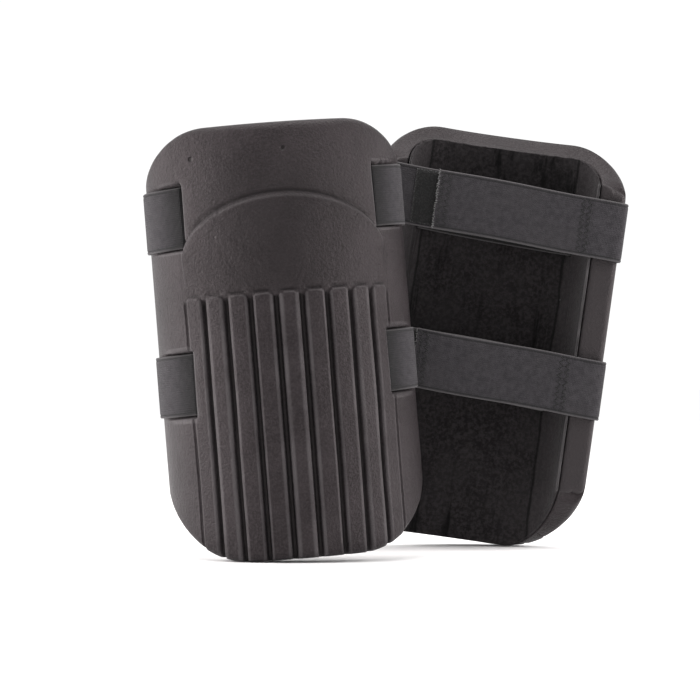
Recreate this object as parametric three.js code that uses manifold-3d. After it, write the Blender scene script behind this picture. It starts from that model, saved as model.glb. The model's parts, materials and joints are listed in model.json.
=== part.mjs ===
// A pair of moulded foam knee pads with elastic hook-and-loop straps.
//
// Each pad is built in its own frame, in millimetres: +Z runs up the shin, the ribbed outer
// face looks along -Y, the leg lies on the +Y side, and y = 0 is the flat face of the rim.
// The two pads then stand side by side, one showing its outer face and one its leg side.

import * as THREE from 'three';
import { mergeVertices } from 'three/addons/utils/BufferGeometryUtils.js';
import Module from 'manifold-3d';

const wasm = await Module();
wasm.setup();

const { cos, sin, PI, sqrt, abs, max, min } = Math;
const radians = THREE.MathUtils.degToRad;
const { smoothstep } = THREE.MathUtils;

// ---- Driving dimensions ----

const GAP = 0.3; // clearance between neighbouring pieces
const SHELL = { halfWidth: 79.5, height: 267, depth: 72, rim: 17, front: 22 };
const CORNER = {
  top: { width: 45, height: 38 },
  bottom: { width: 50, height: 45 },
  innerTop: { width: 18, height: 16 },
  innerBottom: { width: 22, height: 30 },
};
const TOP_BEVEL = 9; // the end face drops by this much from the outer face to the liner
const RIBS = { grooves: 10, pitch: 11.4, mouth: 3.6, floor: 1.6, depth: 3, top: 163, run: 3.5 };
const ARCH = { crown: 223.5, halfWidth: 58, height: 38, step: 2.4, bevel: 4, fade: 170 };
const LINER = 1.2;
const HEM = 2.5; // the liner stops this far short of the foam's two ends
const WEBBING = { width: 38, thickness: 1.6 };
const SLOT = { angle: 39, width: 4, recess: 5, clearance: 0.7 };
const PATCH = { length: 100, thickness: 1, inset: 1.5 };
const STRAP_HEIGHTS = { upper: 215.5, lower: 113 };
const OVER_ARM = { tail: 41.6, slant: 2.5 };
const UNDER_ARM = { tail: -45 };
const HINGE = { x: 80.6, y: 0.8 };
const PAIR = { apart: 126, rims: 40, lean: [-4.5, 8], yaw: [5, 180] };
const FOOT = 0.8; // the foam's lower edge is pressed flat by this much where it stands

// ---- Materials ----

const material = (color, roughness) => new THREE.MeshStandardMaterial({ color, roughness, metalness: 0 });
const FOAM = material(0x4b4849, 0.75);
const FUZZ = material(0x232021, 1);
const ELASTIC = material(0x46484b, 0.9);
const HOOK = material(0x1c1c1e, 0.8);
const LOOP = material(0x2a2a2d, 1);

// ---- Solids from three.js geometry ----

function toSolid(geometry) {
  const bare = geometry.clone();
  bare.deleteAttribute('normal');
  bare.deleteAttribute('uv');
  const merged = mergeVertices(bare, 1e-4);
  return new wasm.Manifold(new wasm.Mesh({
    numProp: 3,
    vertProperties: new Float32Array(merged.attributes.position.array),
    triVerts: new Uint32Array(merged.index.array),
  }));
}

function toGeometry(solid) {
  const mesh = solid.getMesh();
  const geometry = new THREE.BufferGeometry();
  geometry.setAttribute('position', new THREE.BufferAttribute(new Float32Array(mesh.vertProperties), 3));
  geometry.setIndex(new THREE.BufferAttribute(new Uint32Array(mesh.triVerts), 1));
  return geometry.toNonIndexed();
}

// A prism that stands on a plan outline, centred on height z.
function prism(points, height, z) {
  const geometry = new THREE.ExtrudeGeometry(new THREE.Shape(points), { depth: height, bevelEnabled: false });
  return geometry.translate(0, 0, z - height / 2);
}

// ---- The curved surfaces of a pad ----

// How far an end of the pad is drawn back at distance x from its centre line.
function cornerDrop(x, halfWidth, corner) {
  const u = max(0, abs(x) - (halfWidth - corner.width)) / corner.width;
  return corner.height * (1 - sqrt(max(0, 1 - u * u)));
}

// The shell is deepest at the knee, and bends towards the leg at its top.
function outerDepth(z) {
  const middle = 130;
  const bendStart = 150;
  const taper = 6 * max(0, 1 - z / middle) ** 2;
  const bend = 18 * max(0, (z - bendStart) / (SHELL.height - bendStart)) ** 2;
  return SHELL.depth - taper - bend;
}

const innerHalfWidth = SHELL.halfWidth - SHELL.rim;
const innerDepth = (z) => outerDepth(z) - SHELL.front;

function grooveCentre(index) {
  return 90 + (index - (RIBS.grooves - 1) / 2) * RIBS.pitch;
}

// Depth of the grooves between the ribs, at an angle round the section.
function grooveDepth(angle, z) {
  const run = 1 - smoothstep(z, RIBS.top - RIBS.run, RIBS.top);
  const nearest = grooveCentre(Math.round((angle - grooveCentre(0)) / RIBS.pitch));
  const inRange = abs(angle - 90) < (RIBS.grooves * RIBS.pitch) / 2;
  const flank = 1 - smoothstep(abs(angle - nearest), RIBS.floor / 2, RIBS.mouth / 2);
  return inRange ? RIBS.depth * run * flank : 0;
}

// The kneecap panel stands proud below an arched step.
function archRise(x, z) {
  const inside = max(0, 1 - (x / ARCH.halfWidth) ** 2);
  const line = ARCH.crown - ARCH.height * (1 - sqrt(inside));
  const below = smoothstep(line - z, 0, ARCH.bevel);
  return ARCH.step * below * smoothstep(inside, 0, 0.35) * smoothstep(z, ARCH.fade, ARCH.fade + 25);
}

function outerPoint(angle, z) {
  const t = radians(angle);
  const x = SHELL.halfWidth * cos(t);
  const relief = archRise(x, z) - grooveDepth(angle, z);
  return new THREE.Vector3(x + relief * cos(t), -outerDepth(z) * sin(t) - relief * sin(t), z);
}

// The hollow is a flattened oval; `inset` moves the surface into the hollow.
function innerPoint(angle, z, inset = 0) {
  const flatness = 2 / 2.5;
  const t = radians(angle);
  const x = (innerHalfWidth - inset) * Math.sign(cos(t)) * abs(cos(t)) ** flatness;
  return new THREE.Vector3(x, -(innerDepth(z) - inset) * max(0, sin(t)) ** flatness, z);
}

// ---- Grids of points, and the closed skins sewn from them ----

const LOW_LEVEL = 50;
const HIGH_LEVEL = 225;

// Heights of one column of points, from the bottom outline to the top outline.
function columnHeights(bottom, top, levels) {
  const low = [0, 0.4, 0.75].map((f) => bottom + f * (LOW_LEVEL - bottom));
  const high = [0.35, 0.7, 1].map((f) => HIGH_LEVEL + f * (top - HIGH_LEVEL));
  return [...low, ...levels, ...high];
}

function outerGrid() {
  const angles = [0, 9, 18, 26, 33];
  for (let i = 0; i < RIBS.grooves; i++) {
    const edges = [-RIBS.mouth, -RIBS.floor, RIBS.floor, RIBS.mouth];
    angles.push(...edges.map((edge) => grooveCentre(i) + edge / 2));
  }
  angles.push(147, 154, 162, 171, 180);
  const ribLevels = [RIBS.top - RIBS.run, RIBS.top];
  const levels = [LOW_LEVEL, 90, 130, ...ribLevels, 178, 190, 200, 208, 214, 219, HIGH_LEVEL];
  return angles.map((angle) => {
    const x = SHELL.halfWidth * cos(radians(angle));
    const bottom = cornerDrop(x, SHELL.halfWidth, CORNER.bottom);
    const top = SHELL.height - cornerDrop(x, SHELL.halfWidth, CORNER.top);
    return columnHeights(bottom, top, levels).map((z) => outerPoint(angle, z));
  });
}

const INNER_ANGLES = [0, 6, 14, 24, 36, 50, 66, 82, 98, 114, 130, 144, 156, 166, 174, 180];

// `inset` is the distance into the hollow, `hem` holds back the ends, and `edge` the rim.
function innerGrid(inset = 0, hem = 0, edge = 0) {
  const levels = [LOW_LEVEL, 90, 130, 165, 195, HIGH_LEVEL];
  return INNER_ANGLES.map((angle) => {
    const x = innerPoint(angle, 0).x;
    const bottom = hem + cornerDrop(x, innerHalfWidth, CORNER.innerBottom);
    const top = SHELL.height - TOP_BEVEL - hem - cornerDrop(x, innerHalfWidth, CORNER.innerTop);
    const column = columnHeights(bottom, top, levels).map((z) => innerPoint(angle, z, inset));
    column.forEach((point) => point.setY(point.y - edge * abs(cos(radians(angle)))));
    return column;
  });
}

function addTriangle(list, a, b, c) {
  list.push(...a.toArray(), ...b.toArray(), ...c.toArray());
}

function addGrid(list, grid, flip) {
  for (let i = 0; i + 1 < grid.length; i++) {
    for (let j = 0; j + 1 < grid[i].length; j++) {
      const [a, b, c, d] = [grid[i][j], grid[i + 1][j], grid[i + 1][j + 1], grid[i][j + 1]];
      addTriangle(list, ...(flip ? [a, c, b] : [a, b, c]));
      addTriangle(list, ...(flip ? [a, d, c] : [a, c, d]));
    }
  }
}

// Sews two edges together, though one may have more points than the other.
function addStrip(list, first, second, flip) {
  let [i, j] = [0, 0];
  while (i + 1 < first.length || j + 1 < second.length) {
    const nextFirst = (i + 1) / (first.length - 1);
    const nextSecond = (j + 1) / (second.length - 1);
    const [a, b] = [first[i], second[j]];
    const stepFirst = j + 1 >= second.length || (i + 1 < first.length && nextFirst <= nextSecond);
    const c = stepFirst ? first[++i] : second[++j];
    addTriangle(list, ...(flip ? [a, c, b] : [a, b, c]));
  }
}

// The closed skin between an outer grid and an inner grid of the same sense.
function sewShell(outer, inner) {
  const list = [];
  const lastOf = (grid) => grid.map((column) => column.at(-1));
  const firstOf = (grid) => grid.map((column) => column[0]);
  addGrid(list, outer, true);
  addGrid(list, inner, false);
  addStrip(list, firstOf(outer), firstOf(inner), true);
  addStrip(list, lastOf(outer), lastOf(inner), false);
  addStrip(list, outer[0], inner[0], false);
  addStrip(list, outer.at(-1), inner.at(-1), true);
  const geometry = new THREE.BufferGeometry();
  geometry.setAttribute('position', new THREE.Float32BufferAttribute(list, 3));
  return mergeVertices(geometry, 1e-4);
}

// ---- The path of a strap through the pad, in plan ----

// From the rim, back along the flank, sinking into its recess down to the slot.
function flankPath(z) {
  const depth = outerDepth(z);
  const proud = GAP + WEBBING.thickness / 2;
  const path = [];
  for (let angle = 3; angle <= SLOT.angle + 0.01; angle += 4) {
    const t = radians(angle);
    const normal = new THREE.Vector2(cos(t) / SHELL.halfWidth, -sin(t) / depth).normalize();
    const sink = (proud + SLOT.recess) * smoothstep(angle, 12, SLOT.angle);
    const surface = new THREE.Vector2(SHELL.halfWidth * cos(t), -depth * sin(t));
    path.push(surface.addScaledVector(normal, proud - sink));
  }
  return path;
}

// Across the hollow from one slot to the other, over the liner.
function hollowPath(z) {
  const edges = [z - WEBBING.width / 2, z + WEBBING.width / 2];
  const shallowest = innerDepth(edges[0]) < innerDepth(edges[1]) ? edges[0] : edges[1];
  const inset = 4 * GAP + LINER + WEBBING.thickness / 2;
  return INNER_ANGLES.filter((angle) => abs(angle - 90) < 60).map((angle) => {
    const point = innerPoint(angle, shallowest, inset);
    return new THREE.Vector2(point.x, point.y);
  });
}

const mirrored = (path) => path.map((p) => new THREE.Vector2(-p.x, p.y)).reverse();

// The outline of a ribbon of even thickness along a path, with mitred corners.
function ribbonOutline(path, thickness) {
  const sides = [[], []];
  path.forEach((point, i) => {
    const before = point.clone().sub(path[max(0, i - 1)]).normalize();
    const after = path[min(path.length - 1, i + 1)].clone().sub(point).normalize();
    const along = before.clone().add(after).normalize();
    const half = thickness / 2 / max(0.5, along.dot(i ? before : after));
    const across = new THREE.Vector2(-along.y, along.x).multiplyScalar(half);
    sides[0].push(point.clone().add(across));
    sides[1].push(point.clone().sub(across));
  });
  return [...sides[0], ...sides[1].reverse()];
}

// What a strap needs cut away on one flank: its shallow bed, and the slot through the wall.
function strapCutters(z, side) {
  const height = WEBBING.width + 2 * SLOT.clearance;
  const place = (path) => path.map((p) => new THREE.Vector2(p.x * side, p.y));
  const flank = flankPath(z);
  const bedThickness = WEBBING.thickness + 2 * GAP;
  const bedEdge = ribbonOutline(flank, bedThickness).slice(flank.length).reverse();
  const outside = flank.map((p) => p.clone().multiplyScalar(1.25)).reverse();
  const from = flank.at(-1);
  const to = hollowPath(z)[0];
  const reach = to.clone().sub(from).normalize();
  const slot = [from.clone().addScaledVector(reach, -12), to.clone().addScaledVector(reach, 4)];
  return [[...bedEdge, ...outside], ribbonOutline(slot, SLOT.width)]
    .map((outline) => toSolid(prism(place(outline), height, z)));
}

// ---- The pieces of one pad ----

const cutters = Object.values(STRAP_HEIGHTS).flatMap((z) => [...strapCutters(z, 1), ...strapCutters(z, -1)]);

function cutForStraps(geometry) {
  return toGeometry(cutters.reduce((solid, cutter) => solid.subtract(cutter), toSolid(geometry)));
}

const foamGeometry = cutForStraps(sewShell(outerGrid(), innerGrid()));
const linerFaces = [2 * GAP, 2 * GAP + LINER].map((inset) => innerGrid(inset, HEM, GAP));
const linerGeometry = cutForStraps(sewShell(...linerFaces));

function bandGeometry(z) {
  const flank = flankPath(z);
  const path = [...flank, ...hollowPath(z), ...mirrored(flank)];
  return prism(ribbonOutline(path, WEBBING.thickness), WEBBING.width, z);
}

function mesh(name, geometry, look) {
  const piece = new THREE.Mesh(geometry, look);
  piece.name = name;
  return piece;
}

// A flat strip that runs from x0 to x1, at a distance y behind the rim.
function strip(name, x0, x1, y, thickness, width, look) {
  const piece = mesh(name, new THREE.BoxGeometry(abs(x1 - x0), thickness, width), look);
  piece.position.set((x0 + x1) / 2, y + thickness / 2, 0);
  return piece;
}

// The layers behind the rim, from the leg outwards: under arm, loop patch, hook patch, over arm.
const LAYER = { under: 1 };
LAYER.loop = LAYER.under + WEBBING.thickness + GAP;
LAYER.hook = LAYER.loop + PATCH.thickness + GAP;
LAYER.over = LAYER.hook + PATCH.thickness + GAP;

// An arm of the strap turns about the corner of the rim, so its group stands on that corner.
function arm(z, side, slant) {
  const pivot = new THREE.Group();
  pivot.position.set(side * HINGE.x, HINGE.y, z);
  pivot.rotation.y = radians(slant);
  return pivot;
}

function overArm(prefix, z) {
  const pivot = arm(z, -1, -OVER_ARM.slant);
  const reach = HINGE.x + OVER_ARM.tail;
  const patchEnd = reach - PATCH.inset;
  const patchWidth = WEBBING.width - 2 * PATCH.inset;
  pivot.add(
    strip(`${prefix}_over_arm`, 0, reach, LAYER.over - HINGE.y, WEBBING.thickness, WEBBING.width, ELASTIC),
    strip(`${prefix}_hook_patch`, patchEnd - PATCH.length, patchEnd, LAYER.hook - HINGE.y,
      PATCH.thickness, patchWidth, HOOK),
  );
  return pivot;
}

function underArm(prefix, z) {
  const pivot = arm(z, 1, 0);
  const reach = UNDER_ARM.tail - HINGE.x;
  const patchEnd = reach + PATCH.inset;
  const patchWidth = WEBBING.width - 2 * PATCH.inset;
  pivot.add(
    strip(`${prefix}_under_arm`, 0, reach, LAYER.under - HINGE.y, WEBBING.thickness, WEBBING.width, ELASTIC),
    strip(`${prefix}_loop_patch`, patchEnd + PATCH.length, patchEnd, LAYER.loop - HINGE.y,
      PATCH.thickness, patchWidth, LOOP),
  );
  return pivot;
}

function kneePad(prefix, foam) {
  const pad = new THREE.Group();
  pad.add(mesh(`${prefix}_foam_shell`, foam, FOAM));
  pad.add(mesh(`${prefix}_liner`, linerGeometry, FUZZ));
  for (const [name, z] of Object.entries(STRAP_HEIGHTS)) {
    const strap = `${prefix}_${name}`;
    pad.add(mesh(`${strap}_band`, bandGeometry(z), ELASTIC), overArm(strap, z), underArm(strap, z));
  }
  return pad;
}

// ---- The pair, standing on the ground ----

// The foam shell with its lowest edge pressed flat, parallel to the ground that it leans over.
function withFoot(turn) {
  const lowest = new THREE.Box3().setFromObject(new THREE.Mesh(foamGeometry.clone().applyQuaternion(turn)));
  const ground = new THREE.BoxGeometry(400, 400, 40).translate(0, 0, lowest.min.z + FOOT - 20);
  return toGeometry(toSolid(foamGeometry).subtract(toSolid(ground.applyQuaternion(turn.clone().invert()))));
}

// Turns a pad about its middle, leans it to one side, and stands it on z = 0.
function standing(prefix, x, y, lean, yaw) {
  const turn = new THREE.Quaternion().setFromEuler(new THREE.Euler(0, radians(lean), radians(yaw), 'YXZ'));
  const pad = kneePad(prefix, withFoot(turn));
  pad.quaternion.copy(turn);
  const middle = new THREE.Vector3(0, 0, SHELL.height / 2).applyQuaternion(pad.quaternion);
  pad.position.set(x - middle.x, y - middle.y, 0);
  pad.position.z = -new THREE.Box3().setFromObject(pad, true).min.z;
  return pad;
}

const pair = new THREE.Group();
pair.add(
  standing('front_pad', -PAIR.apart / 2, -PAIR.rims / 2, PAIR.lean[0], PAIR.yaw[0]),
  standing('rear_pad', PAIR.apart / 2, PAIR.rims / 2, PAIR.lean[1], PAIR.yaw[1]),
);
const box = new THREE.Box3().setFromObject(pair, true);
const centre = box.getCenter(new THREE.Vector3());
pair.position.set(-centre.x, -centre.y, -box.min.z);

export default pair;
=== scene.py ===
# A pair of moulded foam knee pads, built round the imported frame.
import json
import math

import bmesh
import bpy
import numpy as np
from mathutils import Matrix, Vector


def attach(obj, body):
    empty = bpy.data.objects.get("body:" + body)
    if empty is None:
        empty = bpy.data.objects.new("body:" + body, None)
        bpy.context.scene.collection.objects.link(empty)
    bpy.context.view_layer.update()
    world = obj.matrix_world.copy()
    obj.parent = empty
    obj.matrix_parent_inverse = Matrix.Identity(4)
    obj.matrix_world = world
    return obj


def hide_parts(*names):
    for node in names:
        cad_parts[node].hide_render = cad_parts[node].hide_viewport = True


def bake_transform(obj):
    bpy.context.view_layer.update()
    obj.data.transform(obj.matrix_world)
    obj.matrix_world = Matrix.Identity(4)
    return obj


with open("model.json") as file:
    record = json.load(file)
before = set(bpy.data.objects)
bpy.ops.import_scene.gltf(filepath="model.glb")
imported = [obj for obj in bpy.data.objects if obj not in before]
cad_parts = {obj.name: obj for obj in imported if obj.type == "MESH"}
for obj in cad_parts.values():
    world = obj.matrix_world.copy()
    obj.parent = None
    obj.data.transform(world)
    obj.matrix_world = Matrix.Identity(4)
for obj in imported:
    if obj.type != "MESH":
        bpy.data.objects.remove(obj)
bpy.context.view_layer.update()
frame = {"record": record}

MM = 0.001

# ---- Sizes of one pad, in millimetres and degrees, in its own frame ----
# +Z runs up the shin, -Y is the outer face, +Y the leg side, y = 0 the face of the rim.

HALF_WIDTH = 79.5
HEIGHT = 267.0
DEPTH = 72.0
TAPER = 6.0                                 # how much less deep the pad is at the very bottom
TAPER_END = 130.0
BEND = 18.0                                 # how much less deep it is at the very top
BEND_START = 150.0
RIM = 17.0
FRONT = 22.0                                # thickness of the wall in front of the knee
TOP_BEVEL = 9.0
INNER_HALF = HALF_WIDTH - RIM
HOLLOW_POWER = 0.8                          # below 1 makes the hollow squarer than an ellipse
OUTER_TOP = (36.0, 29.0)                    # width and height of the rounding at each corner
OUTER_BOTTOM = (46.0, 42.0)
INNER_TOP = (18.0, 16.0)
INNER_BOTTOM = (30.0, 42.0)
GROOVES = 10
PITCH = 11.4                                # degrees from groove to groove
GROOVE_DEPTH = 2.2
RIB_TOP = 163.0
RIB_RISE = 1.1
RIB_CORNER = 3.0
RIB_MARGIN = 1.3                            # degrees from a groove's middle to the side of the rib
ARCH_CROWN = 223.5
ARCH_HALF = 62.0
ARCH_HEIGHT = 38.0
ARCH_STEP = 2.3
PANEL_FADE = (166.0, 198.0)                 # heights between which the kneecap panel fades in
CREASE_FADE = (186.0, 198.0)                # and the crease over it
SLOT_ANGLE = 39.0
SLOT_INNER_ANGLE = 36.0
SLOT_HALF = 1.5                             # degrees, half of the slot's width
SLOT_SPARE = 0.6                            # room in the slot past each selvedge of the strap
RECESS = 6.1                                # depth of a strap's bed at its slot
BED_START = 10.0                            # degrees from the rim to where the bed begins
STRAP_Z = {"upper": 215.5, "lower": 113.0}
STRAP_HALF = 19.0
STRAP_SLOPE = math.tan(math.radians(2.5))   # the straps rise towards +X
WEBBING = 1.6
HINGE_Y = 0.8
OVER_TAIL = 41.6
UNDER_TAIL = 45.0
PATCH = 100.0
SLOT_TOP = STRAP_Z["upper"] + STRAP_HALF + SLOT_SPARE
LOW_LEVEL = 62.0                            # from here to HIGH_LEVEL the rows of the walls follow the straps
HIGH_LEVEL = 216.0


def smooth(x, low, high):
    """0 below low, 1 above high, and an S curve between them."""
    t = np.clip((x - low) / (high - low), 0, 1)
    return t * t * (3 - 2 * t)


def corner_drop(x, half, width, height):
    """How far a rounded corner falls below its straight edge."""
    u = np.clip((np.abs(x) - (half - width)) / width, 0, 1)
    return height * (1 - np.sqrt(1 - u * u))


def outer_depth(z):
    """The outer face's depth at its middle, which falls off towards both ends."""
    taper = TAPER * np.clip(1 - z / TAPER_END, 0, None) ** 2
    bend = BEND * np.clip((z - BEND_START) / (HEIGHT - BEND_START), 0, None) ** 2
    return DEPTH - taper - bend


def outer_point(angle, z, out=0.0):
    """A point of the outer face; `out` lifts it off the face."""
    t = np.radians(angle)
    depth = outer_depth(z)
    normal_x = np.cos(t) / HALF_WIDTH
    normal_y = np.sin(t) / depth
    length = np.hypot(normal_x, normal_y)
    x = HALF_WIDTH * np.cos(t) + out * normal_x / length
    y = -depth * np.sin(t) - out * normal_y / length
    return np.stack(np.broadcast_arrays(x, y, z), -1)


def inner_point(angle, z, inset=0.0):
    """A point of the hollow; `inset` moves it into the hollow."""
    t = np.radians(angle)
    c = np.cos(t)
    s = np.clip(np.sin(t), 0, 1)
    x = (INNER_HALF - inset) * np.sign(c) * np.abs(c) ** HOLLOW_POWER
    y = -(outer_depth(z) - FRONT - inset) * s ** HOLLOW_POWER
    return np.stack(np.broadcast_arrays(x, y, z), -1)


# ---- The relief of the outer face ----

# Nicks and scuffs of use: x, z, half length, half width, depth, and tilt in degrees.
MARKS = ((4, 250, 2.2, 0.8, 0.9, 5), (-41, 198.6, 2.6, 0.7, 0.8, 0), (-26, 193.5, 8.5, 0.8, 0.35, 55),
         (-70, 249, 1.6, 1.2, 0.5, 0), (52, 205, 7, 1.0, 0.3, -12), (-38, 214, 1.6, 1.0, 0.5, 20))


def rib_relief(angle, z):
    """Flat ribs with rounded tops, and the grooves between them."""
    arc = HALF_WIDTH * math.radians(1)
    half = (PITCH / 2 - RIB_MARGIN) * arc
    first = 90 - (GROOVES - 1) / 2 * PITCH
    step = (angle - first) / PITCH
    groove = np.abs(step - np.clip(np.round(step), 0, GROOVES - 1)) * PITCH
    rib = np.abs(step - np.clip(np.floor(step), 0, GROOVES - 2) - 0.5) * PITCH
    past_side = np.clip(rib * arc - (half - RIB_CORNER), 0, None)
    past_top = np.clip(z - (RIB_TOP - RIB_CORNER), 0, None)
    rise = RIB_RISE * (1 - smooth(np.hypot(past_side, past_top) - RIB_CORNER, -0.9, 0.5))
    outermost = np.clip(np.abs(angle - 90) / PITCH - (GROOVES - 1) / 2 + 1, 0, 1)
    cut = GROOVE_DEPTH * (1 - smooth(groove, 0.5, 1.5)) * (1 - smooth(z, RIB_TOP - 5, RIB_TOP - 1))
    crease = 0.7 * np.exp(-((z - RIB_TOP - 1.2) / 0.9) ** 2) * (1 - smooth(rib * arc, half - 2, half + 0.5))
    return rise - (cut + crease) * (1 - 0.55 * outermost)


def arch_line(x):
    """The height of the arch, half an ellipse."""
    return ARCH_CROWN - ARCH_HEIGHT * (1 - np.sqrt(np.clip(1 - (x / ARCH_HALF) ** 2, 0, 1)))


def arch_relief(x, z):
    """The kneecap panel stands proud below an arched crease."""
    inside = np.clip(1 - (x / ARCH_HALF) ** 2, 0, 1)
    below = arch_line(x) - z
    side = smooth(inside, 0.0, 0.05)
    panel = ARCH_STEP * smooth(below, -0.6, 3.4) * side * smooth(z, *PANEL_FADE)
    crease = 1.1 * np.exp(-((below + 0.9) / 1.25) ** 2) * side * smooth(z, *CREASE_FADE)
    return panel - crease


def bed_relief(angle, z):
    """The straps' shallow beds, deepest at the slots, with a soft shoulder round each slot."""
    flank = np.minimum(angle, 180 - angle)
    slot_edge = SLOT_ANGLE + SLOT_HALF
    sink = RECESS * smooth(flank, BED_START, SLOT_ANGLE - SLOT_HALF)
    sink = sink * (1 - smooth(flank, slot_edge, slot_edge + 1.1))
    shoulder = 0.7 * np.exp(-((flank - slot_edge - 1.2) / 1.6) ** 2)
    total = 0
    for height in STRAP_Z.values():
        away = np.abs(z - height)
        total = total + sink * (1 - smooth(away, STRAP_HALF + 0.4, STRAP_HALF + 1.9))
        total = total + shoulder * (1 - smooth(away, STRAP_HALF - 1, STRAP_HALF + 4))
    return -total


def marks(x, z, mirror):
    """The nicks and scuffs of MARKS; mirror is -1 on the rear pad, where they change sides."""
    total = 0
    for mark_x, mark_z, long, wide, deep, tilt in MARKS:
        a = math.radians(tilt)
        dx = x - mark_x * mirror
        dz = z - mark_z
        along = (dz * math.cos(a) - mirror * dx * math.sin(a)) / long
        across = (dx * math.cos(a) + mirror * dz * math.sin(a)) / wide
        total = total - deep * np.exp(-along ** 2 - across ** 2)
    return total


def relief_at(angle, z, mirror):
    """Everything that stands out of the outer face or is sunk into it."""
    x = HALF_WIDTH * np.cos(np.radians(angle))
    total = rib_relief(angle, z) + arch_relief(x, z) + bed_relief(angle, z - STRAP_SLOPE * x)
    uneven = 0.25 * np.sin(x * 0.11 + 2.0) * np.sin(z * 0.07 + mirror)
    return total + marks(x, z, mirror) + uneven


def edge_at(angle, z, mirror):
    """How far a point stands above its surroundings: positive on edges, negative in creases."""
    nearby = ((1.0, 0), (-1.0, 0), (0, 1.4), (0, -1.4))
    around = sum(relief_at(angle + turn, z + rise, mirror) for turn, rise in nearby)
    return relief_at(angle, z, mirror) - around / len(nearby)


# ---- Mesh helpers ----

def make_mesh(name, points, faces, matrix, material, **layers):
    """A smooth closed mesh from points in millimetres; layers are per-point vectors in millimetres."""
    faces = [list(dict.fromkeys(face)) for face in faces]
    faces = [face for face in faces if len(face) > 2]
    used = np.zeros(len(points), bool)
    used[np.concatenate(faces)] = True
    number = np.cumsum(used) - 1
    mesh = bpy.data.meshes.new(name)
    mesh.from_pydata((points[used] * MM).tolist(), [], [number[face].tolist() for face in faces])
    for key, values in {"pad": points, **layers}.items():
        data = mesh.attributes.new(key, "FLOAT_VECTOR", "POINT").data
        data.foreach_set("vector", (values[used] * MM).astype(np.float32).ravel())
    work = bmesh.new()
    work.from_mesh(mesh)
    bmesh.ops.recalc_face_normals(work, faces=work.faces)
    work.to_mesh(mesh)
    work.free()
    mesh.transform(matrix)
    mesh.polygons.foreach_set("use_smooth", [True] * len(mesh.polygons))
    mesh.materials.append(material)
    obj = bpy.data.objects.new(name, mesh)
    bpy.context.scene.collection.objects.link(obj)
    return obj


def quads_of(index):
    """The quads over a 2-D array of point numbers."""
    corners = [index[:-1, :-1], index[:-1, 1:], index[1:, 1:], index[1:, :-1]]
    return np.stack(corners, -1)


def pad_matrix(pad):
    """The pad's own frame at rest, from the two hinges of its upper strap."""
    joints = {joint["name"]: joint for joint in frame["record"]["behaviour"]["joints"]}
    over, under = joints[f"{pad}_upper_strap_opens"], joints[f"{pad}_upper_under_arm_swings"]
    left, right = Vector(over["pos_m"]), Vector(under["pos_m"])
    up = Vector(over["axis"]).normalized()
    across = (right - left).normalized()
    back = up.cross(across)
    origin = (left + right) / 2 - back * HINGE_Y * MM - up * STRAP_Z["upper"] * MM
    return Matrix.Translation(origin) @ Matrix((across, back, up)).transposed().to_4x4()


# ---- The walls of a pad: a skin closed between an outer sheet and an inner sheet ----

END_TURNS = np.radians([18, 36, 54, 72, 90])     # the steps round a wall's top and bottom edges
RIM_TURNS = np.radians([30, 60, 90])             # the steps round the corner of its rim
FACE_COLUMNS = 4                                 # columns over half of the rim's face
RIM_COLUMNS = FACE_COLUMNS + len(RIM_TURNS)
CLOSE_LEVEL = 185.0                              # above this the rows lie close together, for the arch
ROWS_BELOW = 13                                  # rows from the bottom edge to LOW_LEVEL
ROWS_TO_SLOT = 17                                # rows from HIGH_LEVEL to the top of the upper slots
ROWS_ABOVE = 11                                  # rows from there to the top edge
CUT_JAG = 0.16                                   # how unevenly the lining's cloth is cut


def columns(fine):
    """Angles round the outer face, from the right rim to the left, with extra ones at slots and grooves."""
    angles = np.arange(3.6, 90, 1.8 if fine else 2.6)
    kept = [SLOT_ANGLE + side * reach for side in (-1, 1) for reach in (SLOT_HALF, 2.0, 2.7, 3.6)]
    if fine:
        for groove in range(GROOVES // 2):
            centre = 90 - (groove + 0.5) * PITCH
            kept += [centre + reach for reach in (-1.9, -1.5, -1.2, -0.9, -0.5, 0, 0.5, 0.9, 1.2, 1.5, 1.9)]
    spaced = [a for a in angles if min(abs(a - k) for k in kept) > 0.5]
    right = sorted(set(spaced + kept))
    return np.array(right + [90.0] + [180 - a for a in reversed(right)])


def rows(fine):
    """Heights up the middle of the wall, with extra ones at the rib tops and at the slots' ends."""
    step = 1.0 if fine else 2.2
    levels = list(np.arange(LOW_LEVEL, RIB_TOP - 5, 3.0 * step))
    if fine:
        levels += list(np.arange(RIB_TOP - 5, RIB_TOP + 4, 0.7))
    levels += list(np.arange(RIB_TOP + 5, CLOSE_LEVEL - 1, 2.6 * step))
    levels += list(np.arange(CLOSE_LEVEL, HIGH_LEVEL, 1.15 * step))
    reaches = (STRAP_HALF + SLOT_SPARE, STRAP_HALF + 1.3, STRAP_HALF + 2.0, STRAP_HALF - 0.2)
    edges = [z + side * reach for z in STRAP_Z.values() for side in (-1, 1) for reach in reaches]
    edges = [e for e in edges if e < HIGH_LEVEL - 0.5]
    levels = [z for z in levels if min(abs(z - e) for e in edges) > 0.6]
    return np.array(sorted(levels + edges + [HIGH_LEVEL]))


def rim_profile(sheet):
    """Across the rim's face, from its middle to the sheet's edge and round the corner there."""
    start = sheet["edge"] - sheet["out"] * sheet["corner"]
    face = np.linspace(sheet["middle"], start, FACE_COLUMNS)
    arc_x = start + sheet["out"] * sheet["corner"] * np.sin(RIM_TURNS)
    arc_y = -sheet["corner"] * (1 - np.cos(RIM_TURNS))
    return np.concatenate([face, arc_x]), np.concatenate([0 * face, arc_y]) - sheet["back"]


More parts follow.
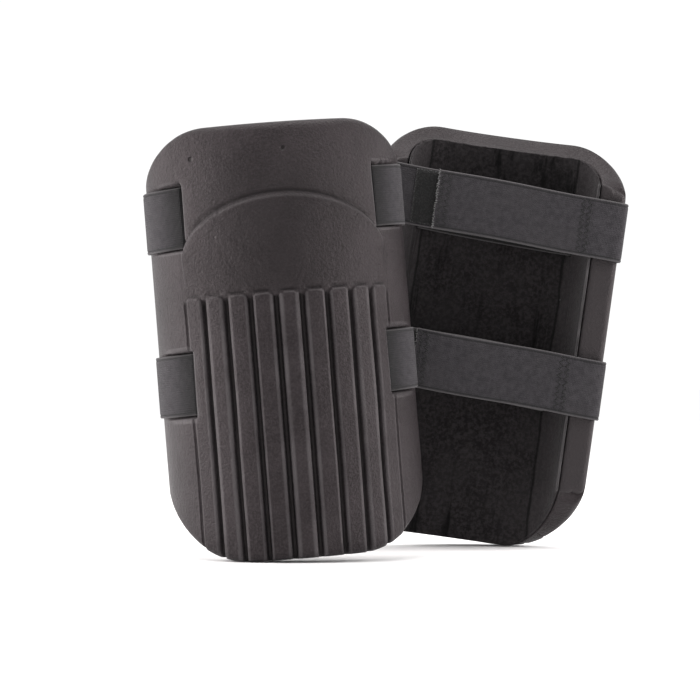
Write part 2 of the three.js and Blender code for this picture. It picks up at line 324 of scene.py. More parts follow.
def sheet_end(sheet, rim_x, body_x, top):
    """The height at which each column of a sheet ends."""
    outer_corner, inner_corner = (OUTER_TOP, INNER_TOP) if top else (OUTER_BOTTOM, INNER_BOTTOM)
    bevel = TOP_BEVEL if top else 0
    share = np.clip((HALF_WIDTH - rim_x) / RIM, 0, 1)
    corner = outer_corner if sheet["outside"] else inner_corner
    body = corner_drop(body_x, sheet["edge"], *corner) + (0 if sheet["outside"] else bevel)
    strip = outer_corner[1] * (1 - share) + (inner_corner[1] + bevel) * share
    drop = np.concatenate([strip, body, strip[::-1]]) + sheet["hem"]
    return HEIGHT - drop if top else drop


def sheet_heights(sheet, rise, bottom, top, levels):
    """Every row's height at every column, from the rounding of the bottom edge to that of the top edge."""
    r = sheet["round"]
    low = LOW_LEVEL + rise
    high = HIGH_LEVEL + rise
    shelf = np.minimum(SLOT_TOP + rise, (high + top - r) / 2)
    height = [bottom + r - r * np.sin(turn) for turn in END_TURNS[::-1]]
    height += [bottom + r + f * (low - bottom - r) for f in np.linspace(0, 1, ROWS_BELOW + 1)[:-1]]
    height += [z + rise for z in levels]
    height += [high + f * (shelf - high) for f in np.linspace(0, 1, ROWS_TO_SLOT + 1)[1:]]
    height += [shelf + f * (top - r - shelf) for f in np.linspace(0, 1, ROWS_ABOVE + 1)[1:]]
    height += [top - r + r * np.sin(turn) for turn in END_TURNS]
    return np.array(height)


def sheet_grid(sheet, angle, levels):
    """One sheet's points in rows, how far each row is drawn into the wall, and the sheet's own angles."""
    own = np.where(angle <= 90, sheet["warp"](angle), 180 - sheet["warp"](180 - angle))
    rim_x, rim_y = rim_profile(sheet)
    body_x = sheet["point"](own, HEIGHT / 2)[:, 0]
    rise = STRAP_SLOPE * np.concatenate([rim_x, body_x, -rim_x[::-1]])
    bottom = sheet_end(sheet, rim_x, body_x, top=False)
    top = sheet_end(sheet, rim_x, body_x, top=True)
    height = sheet_heights(sheet, rise, bottom, top, levels)
    grid = np.zeros(height.shape + (3,))
    for row, z in zip(grid, height):
        row[:RIM_COLUMNS] = np.stack([rim_x, rim_y, z[:RIM_COLUMNS]], -1)
        row[RIM_COLUMNS:-RIM_COLUMNS] = sheet["point"](own, z[RIM_COLUMNS:-RIM_COLUMNS])
        row[-RIM_COLUMNS:] = np.stack([-rim_x[::-1], rim_y[::-1], z[-RIM_COLUMNS:]], -1)
    turned = sheet["round"] * (1 - np.cos(END_TURNS))
    inward = np.concatenate([turned[::-1], np.zeros(len(height) - 2 * len(turned)), turned])
    return grid, inward, own


def draw_in(grid, centre, inward):
    """Rounds the top and bottom edges: their rows move towards the middle of the wall."""
    aim = centre - grid
    aim[..., 2] = 0
    aim /= np.linalg.norm(aim, axis=-1, keepdims=True) + 1e-9
    grid += aim * inward[:, None, None]


def emboss(outer, own, mirror):
    """Presses the relief into the outer sheet and returns where its edges and creases are."""
    wear = np.zeros(outer.shape)
    body = outer[:, RIM_COLUMNS:-RIM_COLUMNS]
    z = body[..., 2].copy()
    relief = relief_at(own[None], z, mirror)
    wear[:, RIM_COLUMNS:-RIM_COLUMNS, 0] = edge_at(own[None], z, mirror)
    body[..., 0] += relief * np.cos(np.radians(own))
    body[..., 1] -= relief * np.sin(np.radians(own))
    return wear


def make_ragged(outer, inner, seed):
    """A cut cloth edge: both sheets waver together along the rims, and half as much again at the top."""
    jag = np.random.default_rng(seed).normal(0, CUT_JAG, outer.shape[:2])
    top = len(END_TURNS)
    for grid in (outer, inner):
        grid[:, :RIM_COLUMNS, 1] += jag[:, :RIM_COLUMNS]
        grid[:, -RIM_COLUMNS:, 1] += jag[:, -RIM_COLUMNS:]
        grid[-top:, :, 2] += jag[-top:, :] * 1.5


def wall(name, fine, sheets, matrix, material, mirror=1, ragged=None):
    """The foam (fine, with its relief) or the lining (with a ragged edge) between two sheets."""
    angle = columns(fine)
    levels = rows(fine)
    outer, outer_inward, own = sheet_grid(sheets[0], angle, levels)
    inner, inner_inward, _ = sheet_grid(sheets[1], angle, levels)
    behind_rim = -RIM / 2 if fine else -2           # keeps the middle of the wall clear of the rim's face
    centre = (outer + inner) / 2
    centre[..., 1] = np.minimum(centre[..., 1], behind_rim)
    draw_in(outer, centre, outer_inward)
    draw_in(inner, centre, inner_inward)
    wear = emboss(outer, own, mirror) if fine else np.zeros(outer.shape)
    if ragged is not None:
        make_ragged(outer, inner, ragged)
    return sew(name, outer, inner, wear, angle, matrix, material)


def open_slots(outer, angle):
    """The cells of the sheets that the four slots take out."""
    across = np.concatenate([np.zeros(RIM_COLUMNS), angle, np.full(RIM_COLUMNS, 180.0)])
    middle = (across[:-1] + across[1:]) / 2
    in_slot = np.abs(np.minimum(middle, 180 - middle) - SLOT_ANGLE) < SLOT_HALF
    level = outer[..., 2] - STRAP_SLOPE * outer[..., 0]
    height = (level[:-1, :-1] + level[1:, 1:]) / 2
    return sum(np.abs(height - z) < STRAP_HALF + SLOT_SPARE for z in STRAP_Z.values()) * in_slot > 0


def slot_walls(hole, out, inn):
    """Quads through the wall along every edge of the slots."""
    beyond = np.pad(hole, 1)
    quads = []
    for r, c in zip(*np.where(hole)):
        sides = (((r, c), (r + 1, c), beyond[r + 1, c]),
                 ((r, c + 1), (r + 1, c + 1), beyond[r + 1, c + 2]),
                 ((r, c), (r, c + 1), beyond[r, c + 1]),
                 ((r + 1, c), (r + 1, c + 1), beyond[r + 2, c + 1]))
        quads += [[out[a], out[b], inn[b], inn[a]] for a, b, is_open in sides if not is_open]
    return np.array(quads)


def sew(name, outer, inner, wear, angle, matrix, material):
    """Joins the two sheets at the rims and ends, and opens the four strap slots."""
    row_count, column_count = outer.shape[:2]
    out = np.arange(row_count * column_count).reshape(row_count, column_count)
    inn = out + out.size
    inn[:, [0, -1]] = out[:, [0, -1]]
    hole = open_slots(outer, angle)
    faces = [quads_of(out)[~hole], quads_of(inn)[~hole], slot_walls(hole, out, inn)]
    points = [outer.reshape(-1, 3), inner.reshape(-1, 3)]
    for row in (0, -1):
        stack = [out[row]]
        for share in (0.25, 0.5, 0.75):
            ids = sum(len(block) for block in points) + np.arange(column_count)
            ids[[0, -1]] = out[row, [0, -1]]
            stack.append(ids)
            points.append(outer[row] * (1 - share) + inner[row] * share)
        faces.append(quads_of(np.array([*stack, inn[row]])).reshape(-1, 4))
    points = np.concatenate(points)
    layer = np.zeros(points.shape)
    layer[:out.size] = wear.reshape(-1, 3)
    return make_mesh(name, points, np.concatenate(faces).tolist(), matrix, material, wear=layer)


def warped(angle):
    """The hollow's slots sit a little further round than the outer face's."""
    return np.interp(angle, [0, SLOT_ANGLE, 90], [0, SLOT_INNER_ANGLE, 90])


# Each sheet has: point(angle, z); warp, from the wall's angles to its own; outside; out, +1 when the sheet
# faces away from the hollow; edge, its half width at the rim; corner, the radius there; middle, where the
# rim's two halves meet; back, its distance behind the rim's face; hem, its distance short of the ends; and
# round, the radius of its top and bottom edges.

FOAM_SHEETS = (
    {"point": outer_point, "warp": lambda angle: angle, "outside": True, "out": 1, "edge": HALF_WIDTH,
     "corner": 3.2, "middle": HALF_WIDTH - RIM / 2, "back": 0.0, "hem": 0.0, "round": 5.0},
    {"point": inner_point, "warp": warped, "outside": False, "out": -1, "edge": INNER_HALF,
     "corner": 1.6, "middle": HALF_WIDTH - RIM / 2, "back": 0.0, "hem": 0.0, "round": 1.8},
)


def liner_sheet(inset, out):
    """One face of the lining cloth: out is 1 next to the foam, -1 next to the leg."""
    return {"point": lambda angle, z: inner_point(angle, z, inset), "warp": warped, "outside": False,
            "out": out, "edge": INNER_HALF - inset, "corner": 0.4, "middle": INNER_HALF - 1.3,
            "back": -0.3, "hem": 0.6, "round": 0.4}


LINER_SHEETS = (liner_sheet(0.5, 1), liner_sheet(2.1, -1))


# ---- Straps ----
# A strap is two ribbons. Each is drawn on the +X side, from the middle of the hollow through the slot and
# round the rim to its tail. The one that ends in the over arm is then mirrored to -X.

HOLLOW_ANGLES = np.array([90, 80, 70, 60, 52, 45, 40, 37])
FLANK_ANGLES = np.array([38.2, 36, 33, 29, 24, 19, 14, 9, 5, 2])
HOLLOW_GAP = 3.1                            # from the hollow's wall to the middle of the webbing
FLANK_GAP = 1.1                             # from the outer face to it, before the bed takes it in
STRAP_ROWS = 41
STATION = 1.3                               # millimetres between points along a strap
WAVE = 0.35                                 # how far an arm's slack moves it up and down
TAIL_Y = 6.3                                # where the over arm's tail lies
UNDER_Y = 1.8                               # where the under arm lies
PATCH_INSET = 1.5
PATCH_THICKNESS = 1.0
STITCH_ROWS = 2
STITCHES = 17
STITCH_PITCH = 2.05
SEAM_GAP = 4.2
SEAM_HALF = 17.0
YARNS = 110

# side, where the strap's half lies; tail, how far its arm reaches past the middle; patch_y, where its patch
# lies; bulge, how far slack moves the arm off the leg; and plan, its points from the rim's corner on.
OVER = {"side": -1, "tail": OVER_TAIL, "patch_y": 5.1, "bulge": 0.35,
        "plan": ((80.9, -1.6), (80.8, 0.8), (79.7, 2.8), (77.4, 4.0), (73, 4.9), (67, 5.6), (60, 6.2),
                 (50, 6.5), (30, 6.7), (10, 6.8), (-10, 6.7), (-30, 6.5), (-OVER_TAIL, TAIL_Y))}
UNDER = {"side": 1, "tail": UNDER_TAIL, "patch_y": 3.35, "bulge": 0.07,
         "plan": ((80.9, -1.2), (80.5, 0.8), (79.0, 1.9), (76, 2.1), (70, 1.9),
                  *((x, UNDER_Y) for x in (60, 45, 30, 10, -10, -30, -UNDER_TAIL)))}


def strap_plan(z, arm):
    """Plan points of half a strap at each height z, from the middle of the hollow to its tail."""
    lift = FLANK_GAP - RECESS * smooth(FLANK_ANGLES, BED_START, SLOT_ANGLE - SLOT_HALF)
    hollow = [inner_point(angle, z, HOLLOW_GAP)[..., :2] for angle in HOLLOW_ANGLES]
    flank = [outer_point(angle, z, out)[..., :2] for angle, out in zip(FLANK_ANGLES, lift)]
    tail = [np.broadcast_to(point, (len(z), 2)) for point in arm["plan"]]
    return np.stack(hollow + flank + tail, 1)


def rounded(path, times=3):
    """Cuts the corners of a path, over and over, keeping its ends."""
    for _ in range(times):
        a, b = path[:, :-1], path[:, 1:]
        cut = np.stack([a * 0.75 + b * 0.25, a * 0.25 + b * 0.75], 2).reshape(len(path), -1, 2)
        path = np.concatenate([path[:, :1], cut, path[:, -1:]], 1)
    return path


def resampled(path, step):
    """The same number of even stations along each row of a path."""
    middle = path[len(path) // 2]
    length = np.concatenate([[0], np.cumsum(np.linalg.norm(np.diff(middle, axis=0), axis=1))])
    stations = np.linspace(0, length[-1], int(length[-1] / step))
    even = [np.stack([np.interp(stations, length, row[:, k]) for k in (0, 1)], -1) for row in path]
    return np.array(even), stations


def selvedge_profile(count):
    """Thickness across the webbing: a sunk line, a rolled selvedge, then a rounded end."""
    across = np.abs(np.linspace(-1, 1, count))
    roll = 0.18 * np.exp(-((across - 0.965) / 0.03) ** 2)
    line = 0.30 * np.exp(-((across - 0.90) / 0.025) ** 2)
    return (1 + roll - line) * np.sqrt(np.clip(1 - (across / 1.004) ** 40, 0.05, 1))


def ribbon(name, path, z, stations, thickness, matrix, material, lift, side):
    """A closed ribbon round plan paths, one for each height, with rounded selvedges."""
    along = np.gradient(path, axis=1)
    along /= np.linalg.norm(along, axis=-1, keepdims=True)
    normal = np.stack([along[..., 1], -along[..., 0]], -1)
    offset = normal * (thickness / 2 * selvedge_profile(len(z)))[:, None, None]
    height = (z[:, None] + lift)[..., None]
    near = np.concatenate([path + offset, height], -1)
    far = np.concatenate([path - offset, height], -1)
    ring = np.concatenate([near, far[::-1]], 0)
    ring[..., 0] *= side
    index = np.arange(ring.shape[0] * ring.shape[1]).reshape(ring.shape[:2])
    faces = quads_of(np.concatenate([index, index[:1]], 0)).reshape(-1, 4).tolist()
    for column in (0, -1):
        pair = np.stack([index[:len(z), column], index[len(z):, column][::-1]])
        faces += quads_of(pair).reshape(-1, 4).tolist()
    across = z - z.mean()
    weave = np.zeros(ring.shape)
    weave[..., 0] = stations
    weave[..., 1] = np.concatenate([across, across[::-1]])[:, None]
    return make_mesh(name, ring.reshape(-1, 3), faces, matrix, material, weave=weave.reshape(-1, 3))


def strap_half(name, level, arm, matrix, material, seed):
    """Half a strap, with some slack in its arm, and the plan path that it follows."""
    z = STRAP_Z[level] + np.linspace(-STRAP_HALF, STRAP_HALF, STRAP_ROWS)
    path, stations = resampled(rounded(strap_plan(z, arm)), STATION)
    wave_phase, bulge_phase = np.random.default_rng(seed).uniform(0, 6, 2)
    first = np.argmax(path[len(z) // 2][:, 1] > 0)
    reach = np.clip(stations - stations[first], 0, None)
    wave = WAVE * np.sin(stations / 17 + wave_phase) * smooth(reach, 0, 40)
    lift = arm["side"] * path[..., 0] * STRAP_SLOPE + wave
    path[..., 1] += arm["bulge"] * np.sin(stations / 23 + bulge_phase) * smooth(reach, 5, 40)
    return ribbon(name, path, z, stations, WEBBING, matrix, material, lift, arm["side"]), path


def patch(name, level, arm, matrix, material):
    """The hook patch on the over arm's inner side, or the loop patch on the under arm's outer side."""
    half = STRAP_HALF - PATCH_INSET
    z = STRAP_Z[level] + np.linspace(-half, half, 15)
    stations = np.linspace(0, PATCH, 60)
    x = PATCH_INSET - arm["tail"] + PATCH - stations
    plan = np.stack([x, np.full(len(x), arm["patch_y"])], -1)
    path = np.repeat(plan[None], len(z), 0)
    lift = arm["side"] * path[..., 0] * STRAP_SLOPE
    return ribbon(name, path, z, stations, PATCH_THICKNESS, matrix, material, lift, arm["side"])


def thread(name, lines, radius, matrix, material):
    """Threads as thin five-sided tubes, one along each line of points."""
    turns = np.radians([0, 72, 144, 216, 288])
    points = []
    faces = []
    for number, line in enumerate(lines):
        along = np.gradient(line, axis=0)
        along /= np.linalg.norm(along, axis=1, keepdims=True) + 1e-9
        side = np.cross(along, [0.3, 0.9, 0.31])        # a direction that no thread follows
        side /= np.linalg.norm(side, axis=1, keepdims=True)
        other = np.cross(along, side)
        points += [line + radius * (side * math.cos(t) + other * math.sin(t)) for t in turns]
        size = len(turns) * len(line)
        index = number * size + np.arange(size).reshape(len(turns), len(line))
        faces += quads_of(np.concatenate([index, index[:1]])).reshape(-1, 4).tolist()
        faces += [index[:, 0].tolist(), index[:, -1].tolist()]
    return make_mesh(name, np.concatenate(points), faces, matrix, material)


def stitches(name, level, x, path, matrix, material):
    """A zigzag seam of separate stitches across the over arm."""
    middle = path[len(path) // 2]
    arm = middle[middle[:, 1] > 3.0][::-1]
    face = np.interp(x, arm[:, 0], arm[:, 1]) + WEBBING / 2 - 0.1
    low = STRAP_Z[level] - x * STRAP_SLOPE - SEAM_HALF
    share = np.linspace(0, 1, 5)
    lines = []
    for row in range(STITCH_ROWS):
        for number in range(STITCHES):
            lean = 1.5 if (number + row) % 2 else -1.5
            along = x + SEAM_GAP * row + lean * (2 * share - 1)
            out = face + 0.25 * np.sin(math.pi * share)
            height = low + number * STITCH_PITCH + 1.8 * share
            lines.append(np.stack([-along, out, height], -1))
    return thread(name, lines, 0.3, matrix, material)


def frayed_edge(name, level, matrix, material, seed):
    """Short cut ends of yarn along the tail."""
    rng = np.random.default_rng(seed)
    half = STRAP_HALF - 0.3
    share = np.linspace(0, 1, 4)
    lines = []
    for height in STRAP_Z[level] + OVER_TAIL * STRAP_SLOPE + np.linspace(-half, half, YARNS):
        y = TAIL_Y + rng.uniform(-0.65, 0.65)
        length = 1.6 * rng.uniform(0.3, 1.1)
        bend = rng.normal(0, 0.35, 2)
        x = OVER_TAIL - 0.7 + length * share
        lines.append(np.stack([x, y + bend[0] * share ** 2, height + bend[1] * share ** 2], -1))
    return thread(name, lines, 0.13, matrix, material)


# ---- Materials ----

class Look:
    """A node material with a Principled shader, and short names for the nodes that it uses."""

    def __init__(self, name, roughness, specular=0.4, sheen=0.0):
        self.material = bpy.data.materials.new(name)
        self.material.use_nodes = True
        self.nodes = self.material.node_tree.nodes
        self.shader = self.nodes["Principled BSDF"]
        self.shader.inputs["Roughness"].default_value = roughness
        self.shader.inputs["Specular IOR Level"].default_value = specular
        self.shader.inputs["Sheen Weight"].default_value = sheen
        self.shader.inputs["Sheen Roughness"].default_value = 0.5

    def link(self, source, target):
        """Joins an output to an input."""
        self.material.node_tree.links.new(source, target)

    def feed(self, node, key, value):
        """Sets an input to a number or a colour, or links an output to it."""
        if isinstance(value, (int, float, tuple)):
            node.inputs[key].default_value = value
        else:
            self.link(value, node.inputs[key])

    def layer(self, name):
        """A vector that is stored on the mesh's points, in metres."""
        node = self.nodes.new("ShaderNodeAttribute")
        node.attribute_name = name
        return node.outputs["Vector"]

    def parts(self, vector):
        """The x, y and z of a vector."""
        node = self.nodes.new("ShaderNodeSeparateXYZ")
        self.link(vector, node.inputs[0])
        return node.outputs

    def math(self, operation, a, b=0.0):
        """One step of arithmetic."""
        node = self.nodes.new("ShaderNodeMath")
        node.operation = operation
        self.feed(node, 0, a)
        self.feed(node, 1, b)
        return node.outputs[0]

    def ramp(self, value, low, high, start=0.0, stop=1.0):
        """Goes smoothly from start to stop while the value goes from low to high."""
        node = self.nodes.new("ShaderNodeMapRange")
        node.interpolation_type = "SMOOTHSTEP"
        self.feed(node, "Value", value)
        for key, number in (("From Min", low), ("From Max", high), ("To Min", start), ("To Max", stop)):
            node.inputs[key].default_value = number
        return node.outputs["Result"]

    def distance(self, vector, point):
        """How far a vector is from a point."""
        node = self.nodes.new("ShaderNodeVectorMath")
        node.operation = "DISTANCE"
        self.link(vector, node.inputs[0])
        node.inputs[1].default_value = point
        return node.outputs["Value"]

    def stretched(self, vector, scale):
        """A vector times a scale for each axis."""
        node = self.nodes.new("ShaderNodeVectorMath")
        node.operation = "MULTIPLY"
        self.link(vector, node.inputs[0])
        node.inputs[1].default_value = scale
        return node.outputs[0]

    def noise(self, vector, scale, detail=3.0, roughness=0.6):
        """Cloudy noise, from 0 to 1."""
        node = self.nodes.new("ShaderNodeTexNoise")
        self.link(vector, node.inputs["Vector"])
        node.inputs["Scale"].default_value = scale
        node.inputs["Detail"].default_value = detail
        node.inputs["Roughness"].default_value = roughness
        return node.outputs["Fac"]

    def cells(self, vector, scale):
        """The distance to the nearest of many scattered points."""
        node = self.nodes.new("ShaderNodeTexVoronoi")
        self.link(vector, node.inputs["Vector"])
        node.inputs["Scale"].default_value = scale
        return node.outputs["Distance"]

    def mix(self, share, first, second):
        """The first colour where share is 0, the second where it is 1."""
        node = self.nodes.new("ShaderNodeMix")
        node.data_type = "RGBA"
        colour_a, colour_b, result = 6, 7, 2         # the node's colour sockets, by number
        self.feed(node, 0, share)
        self.feed(node, colour_a, first)
        self.feed(node, colour_b, second)
        return node.outputs[result]

    def bump(self, height, distance, strength=1.0, normal=None):
        """A surface normal for a height from 0 to 1, where 1 stands out by the distance in metres."""
        node = self.nodes.new("ShaderNodeBump")
        node.inputs["Strength"].default_value = strength
        node.inputs["Distance"].default_value = distance
        self.link(height, node.inputs["Height"])
        if normal is not None:
            self.link(normal, node.inputs["Normal"])
        return node.outputs["Normal"]

    def finish(self, colour, normal):
        """Joins the colour and the normal to the shader."""
        self.link(colour, self.shader.inputs["Base Color"])
        self.link(normal, self.shader.inputs["Normal"])
        return self.material


def grey(value, warm=0.0):
    """A grey that leans towards red by the share `warm`."""
    return (value * (1 + warm), value, value * (1 + warm * 0.4), 1.0)


# The nicks that show dark: place on the pad in metres, and radius.
NICKS = (((0.004, -0.0588, 0.2500), 0.0021), ((-0.052, -0.0449, 0.2480), 0.0019),
         ((-0.041, -0.0597, 0.1986), 0.0018), ((0.045, -0.0567, 0.2060), 0.0022))


def foam_look():
    """Moulded foam: a fine pebbled skin, paler where it is rubbed and on its cut rim, with a painted
    highlight on the ribs' edges and painted shade in its creases and over the middle of its face.
    """
    look = Look("foam", 0.40, 0.20)
    look.shader.inputs["Specular Tint"].default_value = (1.0, 0.88, 0.90, 1)
    place = look.layer("pad")
    x, y, z = look.parts(place)
    cloud = look.ramp(look.noise(place, 28, 4), 0.35, 0.68)
    grain = look.ramp(look.noise(place, 750, 2), 0.35, 0.7)
    colour = look.mix(cloud, grey(0.0060, 0.26), grey(0.0125, 0.22))
    colour = look.mix(look.math("MULTIPLY", grain, 0.35), colour, grey(0.035, 0.16))
    wide = look.math("ABSOLUTE", x)
    # Painted shade: the middle of the face, from the rib tops up over the kneecap panel, is darkened.
    painted_centre_shade = look.math("MULTIPLY", look.ramp(wide, 0.026, 0.062, 1, 0), look.ramp(z, 0.158, 0.172))
    painted_centre_shade = look.math("MULTIPLY", painted_centre_shade, look.ramp(z, 0.222, 0.262, 1, 0))
    colour = look.mix(look.math("MULTIPLY", painted_centre_shade, 0.42), colour, grey(0.006, 0.04))
    rim = look.ramp(y, -0.0026, -0.0008)
    colour = look.mix(look.math("MULTIPLY", rim, 0.75), colour, grey(0.026, 0.09))
    scuff = look.ramp(look.noise(place, 90, 6, 0.75), 0.63, 0.74)
    colour = look.mix(look.math("MULTIPLY", scuff, 0.3), colour, grey(0.07, 0.05))
    # Paler on the ribs' raised edges: rubbed wear together with a painted highlight on the bevels.
    edge = look.parts(look.layer("wear"))[0]
    uneven = look.ramp(cloud, -0.4, 1.0, 0.3, 0.75)
    worn_and_highlit = look.math("MULTIPLY", look.ramp(edge, 0.00006, 0.00042), uneven)
    colour = look.mix(worn_and_highlit, colour, grey(0.058, 0.08))
    # Painted shade: darker in the grooves and creases.
    colour = look.mix(look.ramp(edge, -0.00005, -0.00045, 0, 0.8), colour, grey(0.003))
    normal = look.bump(look.noise(place, 620, 4, 0.7), 0.0008, 1.0)
    for point, size in NICKS:
        nick = look.ramp(look.distance(place, point), size * 0.35, size, 1, 0)
        colour = look.mix(nick, colour, grey(0.002))
        normal = look.bump(nick, -0.0015, 1.0, normal)
    normal = look.bump(look.noise(place, 110, 3), 0.0012, 0.6, normal)
    return look.finish(colour, normal)


def liner_look():
    """Brushed lining cloth: near black and fuzzy, with specks of lint and a pale cut edge; painted shade in
    its creases and along the fold at each side wall, and painted light on the side walls.
    """
    look = Look("liner", 1.0, 0.08, 0.05)
    place = look.layer("pad")
    x, y, _ = look.parts(place)
    fuzz = look.ramp(look.noise(place, 420, 4, 0.7), 0.38, 0.66)
    patchy = look.ramp(look.noise(place, 35, 4), 0.4, 0.65)
    colour = look.mix(fuzz, grey(0.009, 0.12), grey(0.024, 0.12))
    colour = look.mix(look.math("MULTIPLY", patchy, 0.35), colour, grey(0.026, 0.1))
    lint = look.ramp(look.cells(place, 62), 0.035, 0.06, 1, 0)
    lint = look.math("MULTIPLY", lint, look.ramp(look.noise(place, 18, 1), 0.56, 0.6))
    colour = look.mix(look.math("MULTIPLY", lint, 0.6), colour, grey(0.2))
    # Painted shade in long upright creases of the cloth, which the bump also sinks.
    shaded_crease = look.ramp(look.noise(look.stretched(place, (1, 1, 0.07)), 95, 3), 0.52, 0.66)
    shaded_crease = look.math("MULTIPLY", shaded_crease, look.ramp(look.noise(place, 14, 2), 0.4, 0.6, 0.15, 0.85))
    colour = look.mix(shaded_crease, colour, grey(0.003))
    waver = look.ramp(look.noise(place, 30, 2), 0.3, 0.7, -0.0006, 0.0006)
    wide = look.math("ADD", look.math("ABSOLUTE", x), waver)
    # Painted light: the hollow's side walls are paler than its floor.
    colour = look.mix(look.ramp(wide, 0.0475, 0.0490, 0, 0.30), colour, grey(0.040, 0.12))
    # Painted shade: a dark line along the fold between the floor and each side wall.
    fold_shade = look.math("MULTIPLY", look.ramp(wide, 0.0462, 0.0474), look.ramp(wide, 0.0476, 0.0488, 1, 0))
    colour = look.mix(look.math("MULTIPLY", fold_shade, 0.8), colour, grey(0.003))
    edge = look.ramp(y, -0.0014, -0.0004)
    colour = look.mix(edge, colour, grey(0.075, 0.06))
    normal = look.bump(look.noise(place, 900, 4, 0.7), 0.0006, 0.9)
    normal = look.bump(shaded_crease, -0.0012, 0.8, normal)
    return look.finish(colour, normal)


CORD_PITCH = 0.0013                         # metres, as in every look
WEFT_PITCH = 0.0010


def webbing_look():
    """Woven elastic: fine cords along it, crossed by weft, with a sunk line inside each selvedge."""
    look = Look("webbing", 0.85, 0.12, 0.05)
    s, v, _ = look.parts(look.layer("weave"))
    place = look.layer("pad")
    cord = look.math("SINE", look.math("MULTIPLY", v, 2 * math.pi / CORD_PITCH))
    weft = look.math("SINE", look.math("MULTIPLY", s, 2 * math.pi / WEFT_PITCH))
    height = look.math("ADD", look.math("MULTIPLY", cord, 0.5), look.math("MULTIPLY", weft, 0.4))
    heather = look.ramp(look.noise(place, 260, 4, 0.7), 0.33, 0.68)
    colour = look.mix(heather, (0.0220, 0.0200, 0.0228, 1), (0.0385, 0.0355, 0.0395, 1))
    colour = look.mix(look.ramp(height, -0.9, 0.9, 0, 0.3), colour, (0.049, 0.048, 0.050, 1))
    cloud = look.ramp(look.noise(place, 25, 2), 0.4, 0.65)
    colour = look.mix(look.math("MULTIPLY", cloud, 0.3), colour, (0.040, 0.037, 0.039, 1))
    x, y, _ = look.parts(place)
    # Painted shade: the webbing darkens where it sinks into its bed by the slot.
    by_slot = look.ramp(look.math("ABSOLUTE", x), 0.0590, 0.0760, 1, 0)
    shade = look.math("MULTIPLY", by_slot, look.ramp(y, -0.030, -0.012, 1, 0))
    colour = look.mix(look.math("MULTIPLY", shade, 0.85), colour, grey(0.006))
    edge = look.math("ABSOLUTE", v)
    line = look.math("MULTIPLY", look.ramp(edge, 0.0164, 0.0171), look.ramp(edge, 0.0173, 0.0180, 1, 0))
    colour = look.mix(look.math("MULTIPLY", line, 0.8), colour, grey(0.016))
    selvedge = look.ramp(edge, 0.0178, 0.0186)
    colour = look.mix(look.math("MULTIPLY", selvedge, 0.75), colour, grey(0.075, 0.05))
    normal = look.bump(height, 0.00022, 0.8)
    normal = look.bump(look.noise(place, 500, 3), 0.0003, 0.5, normal)
    return look.finish(colour, normal)


def tape_look(name, base, scale):
    """Hook tape or loop tape: a dense nap of small points."""
    look = Look(name, 0.95, 0.2, 0.15)
    place = look.layer("weave")
    nap = look.ramp(look.cells(place, scale), 0.1, 0.6, 1, 0)
    colour = look.mix(nap, grey(base * 0.5), grey(base))
    return look.finish(colour, look.bump(nap, 0.00025))


def thread_look(name, base):
    """Twisted thread or loose yarn."""
    look = Look(name, 0.8, 0.3, 0.1)
    place = look.layer("pad")
    twist = look.noise(place, 1500, 1)
    colour = look.mix(twist, grey(base * 0.7), grey(base * 1.3))
    return look.finish(colour, look.bump(twist, 0.0001))


LOOKS = {"foam": foam_look(), "liner": liner_look(), "elastic": webbing_look(),
         "hook": tape_look("hook_tape", 0.012, 700), "loop": tape_look("loop_tape", 0.017, 1100),
         "dark": thread_look("dark_thread", 0.006), "pale": thread_look("pale_thread", 0.2)}


# ---- One knee pad ----

SEAM_INSET = 2.5                            # from the tail to the first seam
PATCH_SEAM_INSET = 6.0                      # from the far end of the patch to the second seam


def build_strap(pad, level, matrix, seed):
    """One strap: two lengths of webbing, its patches, its seams and its frayed end."""
    node = f"{pad}_pad_{level}"
    over_body, under_body = f"{pad}_{level}_over_arm", f"{pad}_{level}_under_arm"
    over, path = strap_half(f"{node}_over_webbing", level, OVER, matrix, LOOKS["elastic"], seed)
    under, _ = strap_half(f"{node}_under_webbing", level, UNDER, matrix, LOOKS["elastic"], seed + 1)
    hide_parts(f"{node}_over_arm", f"{node}_band")
    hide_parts(f"{node}_under_arm")
    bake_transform(over)
    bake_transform(under)
    hook = patch(f"{node}_hook_tape", level, OVER, matrix, LOOKS["hook"])
    loop = patch(f"{node}_loop_tape", level, UNDER, matrix, LOOKS["loop"])
    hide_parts(f"{node}_hook_patch")
    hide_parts(f"{node}_loop_patch")
    seam_x = SEAM_INSET - OVER_TAIL
    patch_seam_x = PATCH - OVER_TAIL - PATCH_SEAM_INSET
    near = stitches(f"{node}_tail_stitches", level, seam_x, path, matrix, LOOKS["dark"])
    far = stitches(f"{node}_patch_stitches", level, patch_seam_x, path, matrix, LOOKS["dark"])
    fray = frayed_edge(f"{node}_frayed_end", level, matrix, LOOKS["pale"], seed + 2)
    for piece in (hook, near, far, fray):
        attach(piece, over_body)
    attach(loop, under_body)


def build_pad(pad, seed):
    """One pad with its lining and straps; returns its own frame."""
    matrix = pad_matrix(pad)
    mirror = 1 if pad == "front" else -1
    foam = wall(f"{pad}_foam", True, FOAM_SHEETS, matrix, LOOKS["foam"], mirror)
    liner = wall(f"{pad}_lining", False, LINER_SHEETS, matrix, LOOKS["liner"], ragged=seed)
    for vertex in foam.data.vertices:       # the foam is pressed flat where it stands on the floor
        vertex.co.z = max(vertex.co.z, 0.0)
    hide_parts(f"{pad}_pad_foam_shell")
    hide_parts(f"{pad}_pad_liner")
    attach(foam, f"{pad}_pad")
    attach(liner, f"{pad}_pad")
    for number, level in enumerate(STRAP_Z):
        build_strap(pad, level, matrix, seed + 10 * (number + 1))
    return matrix

# ---- Camera, light and floor ----

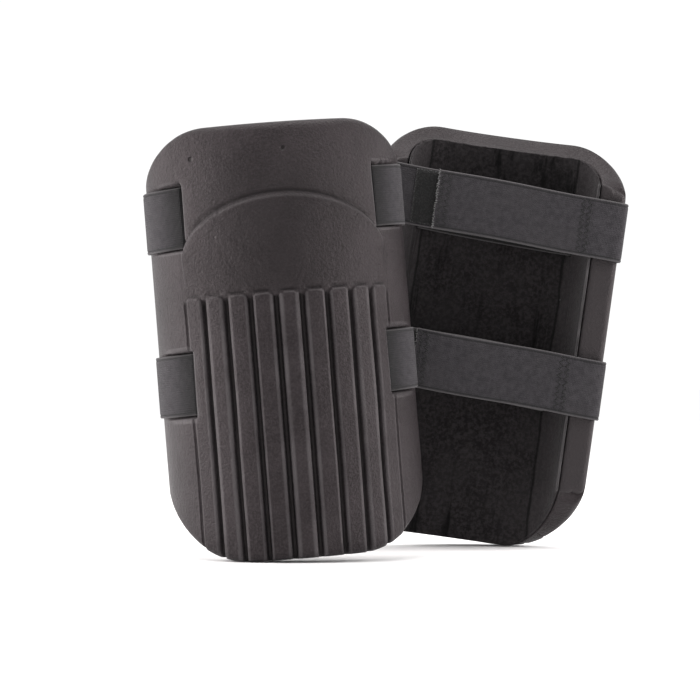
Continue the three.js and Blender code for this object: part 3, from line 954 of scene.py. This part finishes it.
CAMERA_DISTANCE = 1.75
VIEW_WIDTH = 0.433                          # metres across the picture, at the front pad
FLOOR_DROP = 0.0004                         # keeps the floor just clear of the pads
SOFTBOXES = (("left_softbox", (-1.2, 0.0, 0.40), (0, 0, 0.14), (0.6, 1.0), 20),
             ("right_softbox", (1.2, 0.0, 0.40), (0, 0, 0.14), (0.6, 1.0), 16),
             ("top_softbox", (-0.1, 0.10, 1.3), (0, 0, 0.15), (1.2, 0.5), 10))


def add_camera(front):
    """The photograph's view: level with the middle of the pads, a little to the right of the front one."""
    middle = front @ Vector((0, -0.030, 0.1345))
    camera = bpy.data.objects.new("camera", bpy.data.cameras.new("camera"))
    camera.location = middle + Vector((0.0385, -CAMERA_DISTANCE, -0.0075))
    camera.rotation_euler = (math.pi / 2, 0, 0)
    camera.data.lens = camera.data.sensor_width * CAMERA_DISTANCE / VIEW_WIDTH
    bpy.context.scene.collection.objects.link(camera)
    bpy.context.scene.camera = camera


def add_light(name, place, aim, size, power):
    """A rectangular softbox that faces a point."""
    light = bpy.data.objects.new(name, bpy.data.lights.new(name, "AREA"))
    light.data.shape = "RECTANGLE"
    light.data.size, light.data.size_y = size
    light.data.energy = power
    light.data.color = (1.0, 0.955, 0.95)
    light.location = place
    light.rotation_euler = (Vector(aim) - Vector(place)).to_track_quat("-Z", "Y").to_euler()
    bpy.context.scene.collection.objects.link(light)


def add_world():
    """An even white surround."""
    world = bpy.data.worlds.new("studio")
    world.use_nodes = True
    background = world.node_tree.nodes["Background"]
    background.inputs["Color"].default_value = (1, 1, 1, 1)
    background.inputs["Strength"].default_value = 1.05
    bpy.context.scene.world = world
    bpy.context.scene.view_settings.view_transform = "Standard"


def add_floor():
    """A pale round floor, far wider than the view."""
    bpy.ops.mesh.primitive_circle_add(vertices=96, radius=8, fill_type="NGON", location=(0, 0, -FLOOR_DROP))
    floor = bpy.context.object
    floor.name = "floor"
    look = Look("floor", 0.9, 0.1)
    look.shader.inputs["Base Color"].default_value = (0.97, 0.97, 0.97, 1)
    floor.data.materials.append(look.material)


FRONT_FRAME = build_pad("front", seed=11)
build_pad("rear", seed=57)
add_camera(FRONT_FRAME)
add_world()
add_floor()
for softbox in SOFTBOXES:
    add_light(*softbox)
